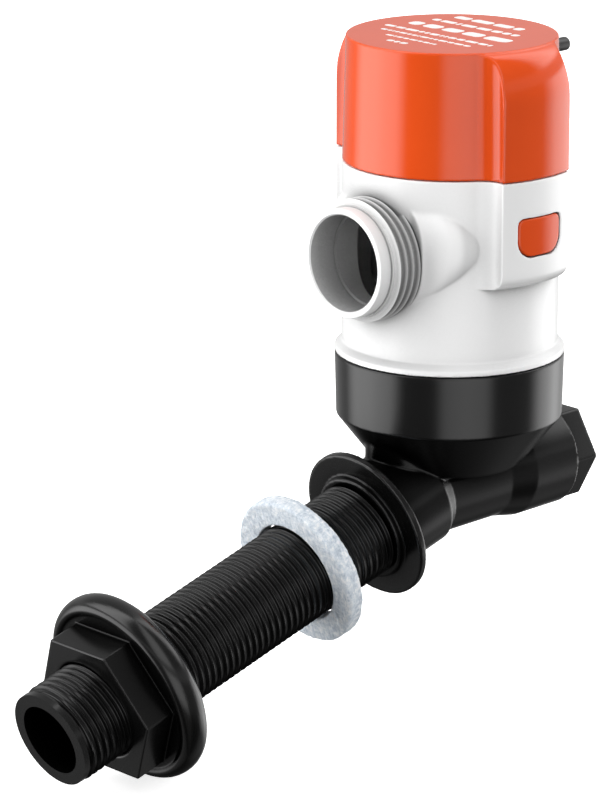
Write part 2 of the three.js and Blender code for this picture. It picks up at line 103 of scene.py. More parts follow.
# Side bosses, with the pockets and windows for the release tabs.
BOSS_R = high("pump_housing", 1)
BOSS_HALF_ANGLE = math.radians(21)
BOSS_HOLLOW = 5.4
BOSS_FOOT = 59.5
BOSS_FOOT_ROUND = 4.4
POCKET_IN_R = 27.1
POCKET_OUT_R = 31.9
POCKET_HALF_WIDTH = 8.2
POCKET_LOW = 65.5
POCKET_HIGH = 109.3
TAB_HALF_WIDTH = 7.4
TAB_LOW = 68.2
TAB_HIGH = 78.3
TAB_TOP_CORNER = 2.0
TAB_FOOT_CORNER = 4.6
TAB_GAP = 0.25
FINGER_R = 30.2
FINGER_HALF_WIDTH = 6.8
FINGER_HALF_THICKNESS = 0.6
FINGER_LOW = 66.4
FINGER_HIGH = 108.9

# Threaded outlet of the housing.
OUTLET_HEIGHT = 66.1
OUTLET_END = -low("pump_housing", 0)
OUTLET_BORE_R = 12.74
OUTLET_CREST_R = 16.3
OUTLET_ROOT_R = 14.8
OUTLET_LIP_R = 14.45
OUTLET_PITCH = 2.3
OUTLET_THREAD_START = 23.6
OUTLET_THREAD_END = 34.9

# Black base: shank and hull flange, with their places along the shank's axis.
BORE_R = 9.6
SHANK_HEIGHT = 3.57
SHANK_END = -145.0
SHANK_ROOT_R = 12.5
SHANK_CREST_R = 13.22
STUB_CREST_R = 13.3
SHANK_PITCH = 2.1
FLANGE_FACE = -32.3
FLANGE_R = 20.8
FLANGE_THICKNESS = 2.2
COLLAR_R = 14.7

# Nut and felt washer, with their places along the shank's axis.
NUT_FRONT = -129.8
NUT_BACK = -113.3
NUT_HEX_R = 20.82
NUT_BORE_R = 13.5
FELT_FRONT = -58.3
FELT_BACK = -53.5
FELT_IN_R = 13.9
FELT_OUT_R = 20.6

# Second port, with its places along its own axis.
TUBE_R = 12.74
PORT_R = 14.2
PORT_END = 43.0
PORT_HEX_START = 34.0
PORT_HEX_R = 13.9
PORT_SEAT = 29.0
PORT_SEAT_R = 10.6

CABLE_R = 1.85
CABLE_HEIGHT = 113.3
CABLE_END = high("power_cable", 0)


# ------------------------------------------------------------------ places

class Place:
    """A local frame: its own Z runs along an axis, from an origin."""

    def __init__(self, axis, origin=(0, 0, 0)):
        along = np.array(axis, float)
        along /= np.linalg.norm(along)
        across = np.cross((0, 1, 0), along)
        self.turn = np.array([across, (0, 1, 0), along])
        self.origin = np.array(origin, float)

    def inward(self, points):
        return (points - self.origin) @ self.turn.T

    def outward(self, points):
        return np.asarray(points, float) @ self.turn + self.origin


UPRIGHT = Place((0, 0, 1))
SHANK = Place(joint_axis("nut_travel"), (0, 0, SHANK_HEIGHT))
PORT = Place(joint_axis("plug_travel"))
OUTLET = Place((-1, 0, 0), (0, 0, OUTLET_HEIGHT))
CABLE = Place((1, 0, 0), (0, 0, CABLE_HEIGHT))


# ------------------------------------------------------------------ outlines

def rounded(corners, steps=3):
    """Points of an outline of (radius, height, corner rounding), with its corners rounded off."""
    corners = [tuple(c) + (0.0,) * (3 - len(c)) for c in corners]
    points = []
    for i, (u, v, r) in enumerate(corners):
        here = np.array((u, v))
        if r == 0:
            points.append(here)
            continue
        before = np.array(corners[i - 1][:2]) - here
        after = np.array(corners[(i + 1) % len(corners)][:2]) - here
        start = here + before * min(r / np.linalg.norm(before), 0.48)
        end = here + after * min(r / np.linalg.norm(after), 0.48)
        for k in range(steps + 1):
            w = k / steps
            points.append((1 - w) ** 2 * start + 2 * w * (1 - w) * here + w * w * end)
    return np.array(points)


def arc(centre, semi_axes, start, end, steps):
    """Points of an elliptical arc between two angles in degrees."""
    angles = np.radians(np.linspace(start, end, steps + 1))
    (u, v), (a, b) = centre, semi_axes
    return [(u + a * math.cos(angle), v + b * math.sin(angle)) for angle in angles]


# ------------------------------------------------------------------ signed distances, negative inside

def outline_distance(u, v, corners):
    nearest = np.full(u.shape, np.inf)
    inside = np.zeros(u.shape, bool)
    for (u0, v0), (u1, v1) in zip(corners, np.roll(corners, -1, 0)):
        du, dv = u1 - u0, v1 - v0
        if (u0 or u1) and (du or dv):
            t = np.clip(((u - u0) * du + (v - v0) * dv) / (du * du + dv * dv), 0, 1)
            nearest = np.minimum(nearest, (u - u0 - t * du) ** 2 + (v - v0 - t * dv) ** 2)
        if dv:
            inside ^= ((v0 > v) != (v1 > v)) & (u < u0 + (v - v0) * du / dv)
    return np.where(inside, -1, 1) * np.sqrt(nearest)


def turned(outline, place=UPRIGHT):
    """A shape turned about a place's own Z."""
    corners = rounded(outline)

    def shape(points):
        local = place.inward(points)
        return outline_distance(np.hypot(local[:, 0], local[:, 1]), local[:, 2], corners)
    return shape


def rod(radius, start, end, place=UPRIGHT, offset=(0, 0)):
    def shape(points):
        local = place.inward(points)
        side = np.hypot(local[:, 0] - offset[0], local[:, 1] - offset[1]) - radius
        return np.maximum(side, np.abs(local[:, 2] - (start + end) / 2) - (end - start) / 2)
    return shape


def hexagon(radius, start, end, place, rounding):
    """A hexagonal bar with two corners on the place's own Y, and softened edges."""
    flat = radius * math.cos(math.pi / 6)

    def shape(points):
        local = place.inward(points)
        side = np.full(len(points), -np.inf)
        for i in range(3):
            a = i * math.pi / 3
            wall = np.abs(local[:, 0] * math.cos(a) + local[:, 1] * math.sin(a)) - flat
            side = wall if i == 0 else soft_max(side, wall, rounding)
        return soft_max(side, np.abs(local[:, 2] - (start + end) / 2) - (end - start) / 2, rounding)
    return shape


def soft_min(a, b, radius):
    """The nearer of two shapes, with a round fillet where they meet."""
    corner = np.hypot(np.maximum(radius - a, 0), np.maximum(radius - b, 0))
    return np.maximum(radius, np.minimum(a, b)) - corner


def soft_max(a, b, radius):
    """What two shapes share, with its edge rounded."""
    return -soft_min(-a, -b, radius)


def joined(radius, *shapes):
    def shape(points):
        total = shapes[0](points)
        for other in shapes[1:]:
            total = soft_min(total, other(points), radius)
        return total
    return shape


def cut(radius, body, *tools):
    def shape(points):
        total = body(points)
        for tool in tools:
            total = soft_max(total, -tool(points), radius)
        return total
    return shape


# ------------------------------------------------------------------ meshes from distances

BLOCK = 8
CORNERS = np.array([(i, j, k) for i in (0, 1) for j in (0, 1) for k in (0, 1)])
CELL_EDGES = [(a, b) for a in range(8) for b in range(a) if np.abs(CORNERS[a] - CORNERS[b]).sum() == 1]
CHUNK = 400_000


def in_chunks(shape, points):
    return np.concatenate([shape(points[i:i + CHUNK]) for i in range(0, len(points), CHUNK)])


def sampled(shape, lowest, highest, step):
    """Distances on a grid. Only blocks near the surface are sampled finely."""
    blocks = np.ceil((highest - lowest) / step / BLOCK).astype(int)
    centres = np.stack(np.meshgrid(*map(np.arange, blocks), indexing="ij"), -1).reshape(-1, 3)
    coarse = in_chunks(shape, lowest + (centres + 0.5 - 0.5 / BLOCK) * BLOCK * step).reshape(blocks)
    field, near = coarse, np.abs(coarse) < BLOCK * step + 0.8
    for axis in range(3):
        field, near = field.repeat(BLOCK, axis), near.repeat(BLOCK, axis)
    field[near] = in_chunks(shape, lowest + np.argwhere(near) * step)
    return field


def netted(field, lowest, step):
    """Surface nets: one vertex in each cell that the surface passes, one quad for each edge it crosses."""
    spans = [slice(0, n - 1) for n in field.shape]
    inside = field < 0
    count = 0
    for corner in CORNERS:
        shifted = tuple(slice(s.start + o, s.stop + o) for s, o in zip(spans, corner))
        count = count + inside[shifted].astype(np.int8)
    active = (count > 0) & (count < 8)
    cells = np.argwhere(active)
    number = np.full(active.shape, -1, np.int32)
    number[active] = np.arange(len(cells))
    values = [field[tuple((cells + c).T)] for c in CORNERS]
    total, crossings = np.zeros((len(cells), 3)), np.zeros(len(cells))
    for a, b in CELL_EDGES:
        crosses = (values[a] < 0) != (values[b] < 0)
        share = np.where(crosses, values[a] / np.where(crosses, values[a] - values[b], 1), 0)
        total += crosses[:, None] * (CORNERS[a] + share[:, None] * (CORNERS[b] - CORNERS[a]))
        crossings += crosses
    points = lowest + (cells + total / crossings[:, None]) * step
    quads = []
    for axis in range(3):
        e, u, v = np.roll(np.eye(3, dtype=int), -axis, 0)
        near = inside[1:-1, 1:-1, 1:-1]
        far = inside[tuple(slice(1 + o, n - 1 + o) for n, o in zip(inside.shape, e))]
        start = np.argwhere(near != far) + 1
        ring = np.stack([number[tuple((start - s).T)] for s in (0 * u, u, u + v, v)], 1)
        leaving = near[near != far]
        ring[~leaving] = ring[~leaving][:, ::-1]
        quads.append(ring)
    return points, np.concatenate(quads)


def settled(shape, points, reach, rounds=3):
    """Moves points onto the surface along its slope."""
    h = 0.01
    for _ in range(rounds):
        here = in_chunks(shape, points)
        slope = np.stack([(in_chunks(shape, points + h * e) - here) / h for e in np.eye(3)], 1)
        move = here[:, None] * slope / np.maximum((slope ** 2).sum(1), 0.25)[:, None]
        length = np.linalg.norm(move, axis=1)
        points = points - move * np.minimum(1, reach / np.maximum(length, 1e-9))[:, None]
    return points


def carved(shape, lowest, highest, step, place=UPRIGHT):
    """A closed mesh of a shape. The shape and its box are in the place's own frame."""
    lowest, highest = np.array(lowest, float), np.array(highest, float)
    points, quads = netted(sampled(shape, lowest, highest, step), lowest, step)
    return place.outward(settled(shape, points, step / 2)), quads


# ------------------------------------------------------------------ meshes from rings

def welded(points, faces, digits=5):
    """Merges equal points and drops faces that have collapsed."""
    _, first, index = np.unique(points.round(digits), axis=0, return_index=True, return_inverse=True)
    index = index.reshape(-1)
    kept = []
    for face in index[faces].tolist():
        corners = [c for i, c in enumerate(face) if c != face[i - 1]]
        if len(set(corners)) > 2:
            kept.append(corners)
    return points[first], kept


def spun(outline, place=UPRIGHT, steps=96):
    """A turned mesh. An outline that starts and ends on the axis is capped there."""
    profile = rounded(outline)
    if profile[0][0] > 0:
        profile = np.vstack([profile, profile[:1]])
    angles = np.arange(steps + 1) % steps * 2 * math.pi / steps
    radius, height = profile[:, :1], profile[:, 1:]
    points = np.stack([radius * np.cos(angles), radius * np.sin(angles), height + 0 * angles], -1)
    return grid_faces(points, place)


def grid_faces(points, place):
    """Welds a grid of ring points into a closed mesh whose faces point outwards."""
    rows, columns = points.shape[:2]
    index = np.arange(rows * columns).reshape(rows, columns)
    quads = np.stack([index[:-1, :-1], index[:-1, 1:], index[1:, 1:], index[1:, :-1]], -1)
    quads = quads.reshape(-1, 4)
    points = points.reshape(-1, 3)
    a, b, c, d = (points[quads[:, i]] for i in range(4))
    volume = (a * np.cross(b - a, c - a)).sum() + (a * np.cross(c - a, d - a)).sum()
    return welded(place.outward(points), quads if volume > 0 else quads[:, ::-1])


# Rows of faces to a turn of thread, and half the root between two ridges as a share of the pitch.
THREAD_ROWS = 12
THREAD_GAP = 0.2


def threaded(before, thread, after, place, steps=120):
    """A solid rod with a helical thread.

    before and after are (radius, place along the axis) rings beyond the thread's ends, and thread is
    its (start, end, root radius, crest radius as a function of the place, pitch). The rows of the
    thread follow its helix, and are cut off square at both ends.
    """

    def rings(rows):
        """Radii and places of rows of ring points, each as an array of rows."""
        return [np.repeat(np.array(column, float)[:, None], steps + 1, 1) for column in zip(*rows)]

    start, end, root, crest, pitch = thread
    angles = np.arange(steps + 1) * 2 * math.pi / steps
    turns = (end - start) / pitch
    rows = np.arange(-THREAD_ROWS, math.ceil(turns * THREAD_ROWS) + 1)
    along = start + pitch * (rows[:, None] / THREAD_ROWS + angles / (2 * math.pi))
    along = np.clip(along, start, end)
    phase = ((along - start) / pitch - angles / (2 * math.pi)) % 1
    ridge = np.clip((0.5 - THREAD_GAP - np.abs(phase - 0.5)) / 0.3, 0, 1)
    ridge = ridge * ridge * (3 - 2 * ridge)
    fade = np.clip(np.minimum(along - start, end - along) / (0.3 * pitch), 0, 1)
    radius = root + (crest(along) - root) * ridge * fade
    (first_radius, first_along), (last_radius, last_along) = rings(before), rings(after)
    radius = np.concatenate([first_radius, radius, last_radius])
    along = np.concatenate([first_along, along, last_along])
    around = np.where(np.arange(steps + 1) == steps, 0, angles)
    points = np.stack([radius * np.cos(around), radius * np.sin(around), along], -1)
    return grid_faces(points, place)


# ------------------------------------------------------------------ objects

def new_mesh(name, points, faces):
    mesh = bpy.data.meshes.new(name)
    lifted = (np.asarray(points) + (0, 0, CROSSING)) * MM
    mesh.from_pydata(lifted, [], faces.tolist() if isinstance(faces, np.ndarray) else faces)
    mesh.validate()
    return mesh


def new_object(name, points, faces):
    obj = bpy.data.objects.new(name, new_mesh(name, points, faces))
    bpy.context.scene.collection.objects.link(obj)
    return obj


def combine(obj, other, operation):
    """Boolean of two closed meshes. The other one is used up."""
    modifier = obj.modifiers.new("combine", "BOOLEAN")
    modifier.operation = operation
    modifier.solver = "MANIFOLD"
    modifier.object = other
    bpy.context.view_layer.update()
    result = bpy.data.meshes.new_from_object(obj.evaluated_get(bpy.context.evaluated_depsgraph_get()))
    obj.modifiers.clear()
    obj.data = result
    bpy.data.objects.remove(other)


# ------------------------------------------------------------------ materials

# How far away walls still darken a surface's colour as painted shade, in metres.
PAINTED_SHADE_REACH = 0.028


def principled(name, **inputs):
    material = bpy.data.materials.new(name)
    material.use_nodes = True
    tree = material.node_tree
    shader = tree.nodes["Principled BSDF"]
    for key, value in inputs.items():
        shader.inputs[key.replace("_", " ")].default_value = value
    return material, tree, shader


def node(tree, kind, links=(), **values):
    """Adds a node. values are its settings and fixed inputs, and links its inputs from other nodes."""
    made = tree.nodes.new(kind)
    for key, value in values.items():
        if hasattr(made, key):
            setattr(made, key, value)
        else:
            made.inputs[key].default_value = value
    for key, output in dict(links).items():
        tree.links.new(output, made.inputs[key])
    return made


def noise(tree, scale, detail=3.0, roughness=0.5, stretch=None):
    """Noise in the pieces' own metres, so its grain has a real size."""
    place = node(tree, "ShaderNodeTexCoord").outputs["Object"]
    if stretch:
        place = node(tree, "ShaderNodeMapping", {"Vector": place}, Scale=stretch).outputs["Vector"]
    made = node(tree, "ShaderNodeTexNoise", {"Vector": place}, Scale=scale, Detail=detail,
                Roughness=roughness)
    return made.outputs["Fac"]


def ramp(tree, factor, stops):
    made = node(tree, "ShaderNodeValToRGB", {"Fac": factor})
    elements = made.color_ramp.elements
    while len(elements) < len(stops):
        elements.new(0.5)
    for element, (position, value) in zip(elements, stops):
        element.position = position
        element.color = (*value, 1) if isinstance(value, tuple) else (value, value, value, 1)
    return made.outputs["Color"]


def spread(tree, factor, low_value, high_value):
    made = node(tree, "ShaderNodeMapRange", {"Value": factor})
    made.inputs["From Min"].default_value = 0.3
    made.inputs["From Max"].default_value = 0.7
    made.inputs["To Min"].default_value = low_value
    made.inputs["To Max"].default_value = high_value
    return made.outputs["Result"]


def bumped(tree, shader, height, strength, distance):
    made = node(tree, "ShaderNodeBump", {"Height": height}, Strength=strength, Distance=distance)
    tree.links.new(made.outputs["Normal"], shader.inputs["Normal"])


def shades(tree, dark, light, scale):
    """A colour that drifts a little over the part."""
    return ramp(tree, noise(tree, scale), [(0.3, dark), (0.7, light)])


def painted_hollow_shade(tree, deepest):
    """Painted shade: one on open faces, falling to the deepest value inside bores and in the roots of threads,
    where nearby walls would shade them.
    """
    made = node(tree, "ShaderNodeAmbientOcclusion", samples=8, only_local=True, Distance=PAINTED_SHADE_REACH)
    return ramp(tree, made.outputs["AO"], [(0.45, deepest), (0.97, 1.0)])


def moulded(name, dark, light, roughness, coat=0.0, grain=0.03, deepest=0.5):
    """Injection-moulded plastic: slow drifts of tone and gloss, the fine skin of the mould, and painted shade that
    darkens its colour and dims its reflections inside bores, hollows and thread roots.
    """
    material, tree, shader = principled(name, Coat_Weight=coat, Coat_Roughness=0.06, IOR=1.5)
    # Painted shade from ambient occlusion darkens the colour in hollows.
    hollow_shade = painted_hollow_shade(tree, deepest)
    tone_and_painted_shade = node(tree, "ShaderNodeMix", data_type="RGBA", blend_type="MULTIPLY")
    tone_and_painted_shade.inputs[0].default_value = 1.0
    tree.links.new(shades(tree, dark, light, 45), tone_and_painted_shade.inputs[6])
    tree.links.new(hollow_shade, tone_and_painted_shade.inputs[7])
    tree.links.new(tone_and_painted_shade.outputs[2], shader.inputs["Base Color"])
    # The same painted shade also dims the reflections in hollows.
    gleam = node(tree, "ShaderNodeMath", {0: hollow_shade}, operation="MULTIPLY")
    gleam.inputs[1].default_value = 0.5
    tree.links.new(gleam.outputs["Value"], shader.inputs["Specular IOR Level"])
    gloss = spread(tree, noise(tree, 70), roughness * 0.96, roughness * 1.05)
    tree.links.new(gloss, shader.inputs["Roughness"])
    bumped(tree, shader, noise(tree, 3500, 2), grain, 0.00004)
    return material


def drawn_metal(name, dark, light, roughness, stretch):
    """Bare metal with the marks of its drawing, grinding or stacking."""
    material, tree, shader = principled(name, Metallic=1.0)
    tree.links.new(shades(tree, dark, light, 120), shader.inputs["Base Color"])
    marks = noise(tree, 900, 4, 0.6, stretch)
    tree.links.new(spread(tree, marks, roughness * 0.7, roughness * 1.4), shader.inputs["Roughness"])
    bumped(tree, shader, marks, 0.15, 0.00005)
    return material


def sintered(name, dark, light, metallic, roughness):
    """Pressed powder: dark pores in a matt body."""
    material, tree, shader = principled(name, Metallic=metallic, Roughness=roughness)
    pores = ramp(tree, noise(tree, 2200, 5, 0.7), [(0.35, dark), (0.6, light)])
    tree.links.new(pores, shader.inputs["Base Color"])
    bumped(tree, shader, noise(tree, 2600, 4, 0.7), 0.4, 0.00008)
    return material


def felted():
    """Pressed fibre: pale blue-grey with white strands, and small hollows whose darker colour is painted shade."""
    material, tree, shader = principled("felt", Roughness=0.92, Sheen_Weight=0.4, Sheen_Roughness=0.5)
    strands = noise(tree, 420, 8, 0.72, (1.0, 2.4, 0.9))
    crossing = noise(tree, 520, 7, 0.7, (2.2, 0.9, 1.4))
    both = node(tree, "ShaderNodeMath", {0: strands, 1: crossing}, operation="MULTIPLY")
    both = both.outputs["Value"]
    # The hollow colour is painted shade, darkest where the bump sinks lowest between the fibres.
    hollow, fibre, strand = (0.40, 0.47, 0.56), (0.66, 0.73, 0.80), (0.93, 0.95, 0.97)
    colour = ramp(tree, both, [(0.14, hollow), (0.24, fibre), (0.34, strand)])
    tree.links.new(colour, shader.inputs["Base Color"])
    fuzz = noise(tree, 2400, 6, 0.8)
    fine = node(tree, "ShaderNodeMath", {0: both, 1: fuzz}, operation="ADD")
    bumped(tree, shader, fine.outputs["Value"], 0.9, 0.0004)
    return material


def printed():
    """Pad-printed white ink, a little worn."""
    material, tree, shader = principled("print_ink", Roughness=0.45)
    ink = shades(tree, (0.80, 0.78, 0.76), (0.92, 0.90, 0.88), 300)
    tree.links.new(ink, shader.inputs["Base Color"])
    bumped(tree, shader, noise(tree, 2500, 3), 0.1, 0.00003)
    return material


def grey(value):
    return (value, value, value)


# Finishes by the names of the record's material slots.
FINISHES = {
    # deepest is how dark the painted shade in hollows gets on each plastic.
    "black_plastic": moulded("black_plastic", grey(0.0045), grey(0.0055), 0.2, deepest=0.03),
    "white_plastic": moulded("white_plastic", grey(0.88), grey(0.90), 0.25, coat=0.1, deepest=0.16),
    "orange_plastic": moulded("orange_plastic", (0.72, 0.070, 0.006), (0.75, 0.076, 0.007), 0.14, coat=0.1),
    "felt": felted(),
    "seal_rubber": moulded("seal_rubber", grey(0.012), grey(0.02), 0.6, grain=0.3),
    "cable_sheath": moulded("cable_sheath", grey(0.008), grey(0.012), 0.35, grain=0.2),
    "red_wire": moulded("red_wire", (0.4, 0.02, 0.015), (0.5, 0.03, 0.02), 0.4, grain=0.2),
    "plated_steel": drawn_metal("plated_steel", grey(0.5), (0.62, 0.63, 0.66), 0.3, (1, 1, 0.05)),
    "shaft_steel": drawn_metal("shaft_steel", grey(0.55), grey(0.68), 0.18, (1, 1, 12)),
    "lamination_steel": drawn_metal("lamination_steel", grey(0.2), grey(0.32), 0.4, (0.1, 0.1, 3)),
    "ferrite": sintered("ferrite", grey(0.03), grey(0.065), 0.0, 0.7),
    "copper": drawn_metal("copper", (0.5, 0.14, 0.05), (0.72, 0.26, 0.1), 0.32, (0.3, 0.3, 6)),
    "bronze": sintered("bronze", (0.24, 0.12, 0.04), (0.5, 0.3, 0.12), 1.0, 0.45),
    "carbon": sintered("carbon", grey(0.015), grey(0.05), 0.0, 0.55),
    "nylon": moulded("nylon", (0.68, 0.64, 0.53), (0.76, 0.73, 0.63), 0.45, grain=0.15),
}
INK_FINISH = printed()
# The well's plastic takes only light painted shade in its hollows.
WELL_FINISH = moulded("well_plastic", grey(0.06), grey(0.07), 0.3, deepest=0.8)

# The CAD's solids stay sharp at their real edges, and smooth over their facets.
FACET_ANGLE = 32


def surfaced(obj, finish, crease=None):
    """Gives an object its finish and smooth shading, with edges sharper than the crease left sharp."""
    obj.data.materials.clear()
    obj.data.materials.append(finish)
    obj.data.shade_smooth()
    if crease:
        obj.data.set_sharp_from_angle(angle=math.radians(crease))


def finished(obj, body, slot, node_name, crease=None):
    """Gives a piece its surface and body, and hides the CAD node that it stands for."""
    surfaced(obj, FINISHES[slot], crease)
    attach(obj, body)
    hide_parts(node_name)
    return obj


for row in frame["record"]["subparts"]:
    surfaced(frame["nodes"][row["node"]], FINISHES[row["material_slot"]], FACET_ANGLE)


# ------------------------------------------------------------------ black intake base

RISER_X = -16.0
RISER_R = 10.6
RISER_FILLET = 0.5
ELBOW_CENTRE = (-11.5, 0, -0.39)
ELBOW_R = 12.6
BASE_STEP = 0.42


def bowl_and_spigot():
    """The ring that the housing stands on, its spigot with a groove, and the cone below it."""
    return turned([
        (0, CONE_FOOT - 0.8), (17.6, CONE_FOOT - 0.8, 0.6), (CONE_FOOT_R, CONE_FOOT, 0.8),
        (RIM_R - 0.4, RING_FOOT, 0.3), (RIM_R, JOIN_HEIGHT - 0.3, 0.5), (SPIGOT_R, JOIN_HEIGHT - 0.3),
        (SPIGOT_R, GROOVE_LOW), (GROOVE_R, GROOVE_LOW), (GROOVE_R, GROOVE_HIGH), (SPIGOT_R, GROOVE_HIGH),
        (SPIGOT_R, SPIGOT_TOP), (0, SPIGOT_TOP)])


def flange_and_collar():
    """The hull flange with a step in front of it, and the collar behind it."""
    step = SHANK_CREST_R + 1.5
    flange_back = FLANGE_FACE + FLANGE_THICKNESS
    return turned([
        (0, FLANGE_FACE - 2), (step, FLANGE_FACE - 2, 0.5), (step, FLANGE_FACE, 0.4),
        (FLANGE_R, FLANGE_FACE, 0.4), (FLANGE_R, flange_back, 0.4), (COLLAR_R, flange_back, 0.8),
        (COLLAR_R, -14, 0.2), (12.7, -10.5), (0, -10.5)], SHANK)


def elbow(points):
    """The ball in which the two pipes meet."""
    return np.linalg.norm(points - ELBOW_CENTRE, axis=1) - ELBOW_R


def port_tube():
    """The tube to the second port, which widens towards its hexagonal end."""
    tube = turned([
        (0, -11.5), (TUBE_R, -11.5), (TUBE_R, 12.1, 0.3), (PORT_R, 19.7, 0.3),
        (PORT_R, PORT_HEX_START + 1.4), (0, PORT_HEX_START + 1.4)], PORT)
    return joined(0, tube, hexagon(PORT_HEX_R, PORT_HEX_START, PORT_END, PORT, 0.4))


def water_ways():
    """The chamber under the impeller, the port's bore and seat, and the upright bore between them."""
    chamber = turned([(0, 8.6), (14, 9.4), (21.5, 20), (21.5, 40.9), (9.5, 40.9), (9.5, 45), (0, 45)])
    seat = turned([
        (0, PORT_SEAT), (PORT_SEAT_R, PORT_SEAT), (PORT_SEAT_R, PORT_END - 0.6),
        (PORT_SEAT_R + 0.8, PORT_END + 0.2), (PORT_SEAT_R + 0.8, PORT_END + 2), (0, PORT_END + 2)], PORT)
    bores = joined(0.3, rod(BORE_R, -14, PORT_SEAT + 1, PORT), seat, rod(BORE_R, 0, 12, offset=(-4, 0)))
    return joined(0.3, chamber, bores)


def base_casting():
    """The bowl with its riser, on a pipe from the hull flange to the second port."""
    riser = rod(RISER_R, -1, RING_FOOT, offset=(RISER_X, 0))
    pipe = joined(0, flange_and_collar(), port_tube(), elbow)
    body = joined(0.4, joined(RISER_FILLET, bowl_and_spigot(), riser), pipe)
    return cut(0.35, body, water_ways())


def shank_crest(along):
    """The thread is a little larger on the stub beyond the nut's place."""
    return np.interp(along, (NUT_FRONT - 4, NUT_FRONT + 2), (STUB_CREST_R, SHANK_CREST_R))


def intake_base():
    """The casting, with the threaded shank and the bore through it."""
    points, quads = carved(base_casting(), (-39.6, -31.6, -28.4), (44.2, 31.6, 44.8), BASE_STEP)
    base = new_object("intake_moulding", points, quads)
    tip = [(0, SHANK_END), (12.95, SHANK_END), (13.0, SHANK_END + 1.6), (12.3, SHANK_END + 1.7),
           (12.3, SHANK_END + 2.2), (SHANK_ROOT_R, SHANK_END + 2.4)]
    shank = threaded(tip, (SHANK_END + 2.4, FLANGE_FACE - 1.2, SHANK_ROOT_R, shank_crest, SHANK_PITCH),
                     [(SHANK_ROOT_R, -28), (0, -28)], SHANK)
    combine(base, new_object("thread", *shank), "UNION")
    bore = spun([(0, SHANK_END - 2), (BORE_R, SHANK_END - 2), (BORE_R, -8), (0, -8)], SHANK)
    combine(base, new_object("bore", *bore), "DIFFERENCE")
    return finished(base, "base", "black_plastic", "intake_base", crease=60)


# ------------------------------------------------------------------ white housing

NECK_START = 9.0
NECK_END = 26.0
NECK_REACH = np.arange(5, 32, 0.25)
# Stations of the neck's section, as reaches out along -X from the motor's axis.
NECK_STATIONS = (9, 14, 19, 22.5, 25.4, 28.9)


def eased(values, window=10):
    """A run of values with its corners smoothed out."""
    padded = np.concatenate([[values[0]] * window, values, [values[-1]] * window])
    return np.convolve(padded, np.ones(window) / window, "same")[window:-window]


def along_neck(values):
    return eased(np.interp(NECK_REACH, NECK_STATIONS, values))


NECK_RISE = along_neck((4.1, 4.1, 3.9, 3.1, 1.8, 0.9))
NECK_HALF_WIDTH = along_neck((25.4, 25.4, 24.2, 21.3, 16.4, 14.8))
NECK_HALF_HEIGHT = along_neck((14.3, 14.3, 14.4, 14.7, 15.0, 14.9))
NECK_SQUARENESS = along_neck((2.0, 2.1, 2.4, 2.8, 3.0, 2.0))


def neck(points):
    """The outlet's root, which swells sideways and upwards over the housing wall.

    Its sections are rounded rectangles of a changing squareness. Their distance is their level over
    its slope, made smaller to stay below the true distance.
    """
    reach = -points[:, 0]
    half_width = np.interp(reach, NECK_REACH, NECK_HALF_WIDTH)
    half_height = np.interp(reach, NECK_REACH, NECK_HALF_HEIGHT)
    u = points[:, 1] / half_width
    v = (points[:, 2] - OUTLET_HEIGHT - np.interp(reach, NECK_REACH, NECK_RISE)) / half_height
    power = np.interp(reach, NECK_REACH, NECK_SQUARENESS)
    level = np.maximum((np.abs(u) ** power + np.abs(v) ** power) ** (1 / power), 0.05)
    slope = np.maximum(np.hypot(u / half_width, v / half_height), 0.005) / level
    side = 0.6 * (level - 1) / slope
    return np.maximum(np.maximum(side, reach - NECK_END), NECK_START - reach)


def boss_plan(points, wall_radius):
    """Plan of the body with its two side bosses, which leave the wall in hollow curves."""
    across, along = np.abs(points[:, 0]), np.abs(points[:, 1])
    rho = np.hypot(across, along)
    wedge = across * math.cos(BOSS_HALF_ANGLE) - along * math.sin(BOSS_HALF_ANGLE)
    boss = soft_max(rho - BOSS_R, wedge, 0.35)
    return soft_min(rho - wall_radius, boss, BOSS_HOLLOW)


def pocket(start, end):
    """The slots in the bosses that the tabs' fingers hang in."""
    def shape(points):
        rho = np.hypot(points[:, 0], points[:, 1])
        middle, half = (POCKET_IN_R + POCKET_OUT_R) / 2, (POCKET_OUT_R - POCKET_IN_R) / 2
        side = np.maximum(np.abs(rho - middle) - half, np.abs(points[:, 0]) - POCKET_HALF_WIDTH)
        return np.maximum(side, np.abs(points[:, 2] - (start + end) / 2) - (end - start) / 2)
    return shape


def tab_outline(points, clearance):
    """A D lying on its curved side, seen along Y."""
    z = points[:, 2] - (TAB_LOW + TAB_HIGH) / 2
    corner = np.where(z > 0, TAB_TOP_CORNER, TAB_FOOT_CORNER)
    u = np.abs(points[:, 0]) - TAB_HALF_WIDTH - clearance + corner
    v = np.abs(z) - (TAB_HIGH - TAB_LOW) / 2 - clearance + corner
    return np.minimum(np.maximum(u, v), 0) + np.hypot(np.maximum(u, 0), np.maximum(v, 0)) - corner


def window(points):
    """The openings in the bosses for the tabs' heads."""
    return np.maximum(tab_outline(points, TAB_GAP), FINGER_R - np.abs(points[:, 1]))


